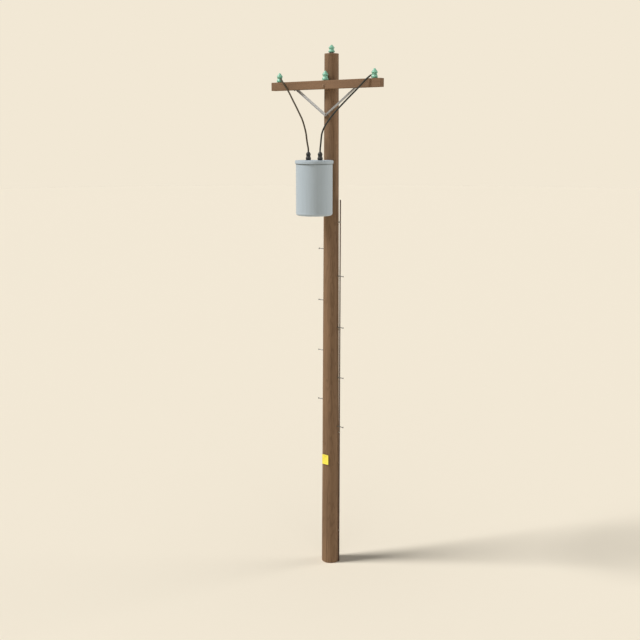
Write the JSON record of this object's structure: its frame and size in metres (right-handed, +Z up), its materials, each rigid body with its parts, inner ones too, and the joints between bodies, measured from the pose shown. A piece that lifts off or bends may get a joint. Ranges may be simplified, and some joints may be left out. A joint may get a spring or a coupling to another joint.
{
  "type": "pole mounted transformer",
  "caption": "Round wood utility pole with a braced crossarm, glass pin insulators, a hung grey transformer tank with two bushings and leads, climbing steps, a conduit and a bare sign plate.",
  "frame": {"origin": "centre of the pole's flat base face, at ground level", "axes": "+Z up the pole, +X along the crossarm, -Y toward the side that the tank hangs on"},
  "size_m": [2.23, 0.9725, 9.2695],
  "materials": {
    "pole_wood": "oiled round pole wood with fine long grain",
    "arm_wood": "sawn timber, treated brown",
    "batten_wood": "sawn timber",
    "insulator_glass": "pressed aqua green glass",
    "bushing_glaze": "near-black glaze",
    "terminal_metal": "dull plated",
    "lead_jacket": "dark grey insulated cable",
    "tie_metal": "dull grey",
    "tank_paint": "satin light grey paint",
    "gasket_rubber": "black rubber",
    "cap_plastic": "matte dark",
    "conduit_steel": "weathered grey brown",
    "sign_paint": "yellow enamel, bare of any lettering",
    "pin_steel": "dark galvanised",
    "brace_steel": "hot-dip galvanised",
    "galvanised_steel": "hot-dip galvanised, dull"
  },
  "bodies": {
    "root": {"brace_bolt": "galvanised_steel", "brace_foot_bolt_left": "galvanised_steel", "brace_foot_bolt_right": "galvanised_steel", "brace_left": "brace_steel", "brace_right": "brace_steel", "brace_spacer": "galvanised_steel", "bushing_left": "bushing_glaze", "bushing_right": "bushing_glaze", "conduit": "conduit_steel", "conduit_cap": "cap_plastic", "conduit_straps": "conduit_steel", "crossarm": "arm_wood", "crossarm_bolt": "galvanised_steel", "hanger_bolt_lower": "galvanised_steel", "hanger_bolt_upper": "galvanised_steel", "hanger_lower": "tank_paint", "hanger_upper": "tank_paint", "insulator_center": "insulator_glass", "insulator_left": "insulator_glass", "insulator_right": "insulator_glass", "insulator_top": "insulator_glass", "lead_left": "lead_jacket", "lead_right": "lead_jacket", "lid_gasket": "gasket_rubber", "pin_center": "pin_steel", "pin_left": "pin_steel", "pin_right": "pin_steel", "pin_top": "pin_steel", "pole": "pole_wood", "sign_batten": "batten_wood", "sign_plate": "sign_paint", "sign_screws": "galvanised_steel", "step_left_1": "galvanised_steel", "step_left_2": "galvanised_steel", "step_left_3": "galvanised_steel", "step_left_4": "galvanised_steel", "step_right_1": "galvanised_steel", "step_right_2": "galvanised_steel", "step_right_3": "galvanised_steel", "step_right_4": "galvanised_steel", "tank_bottom": "tank_paint", "tank_lid": "tank_paint", "tank_shell": "tank_paint", "terminal_left": "terminal_metal", "terminal_right": "terminal_metal", "tie_left": "tie_metal", "tie_right": "tie_metal"}
  },
  "joints": []
}
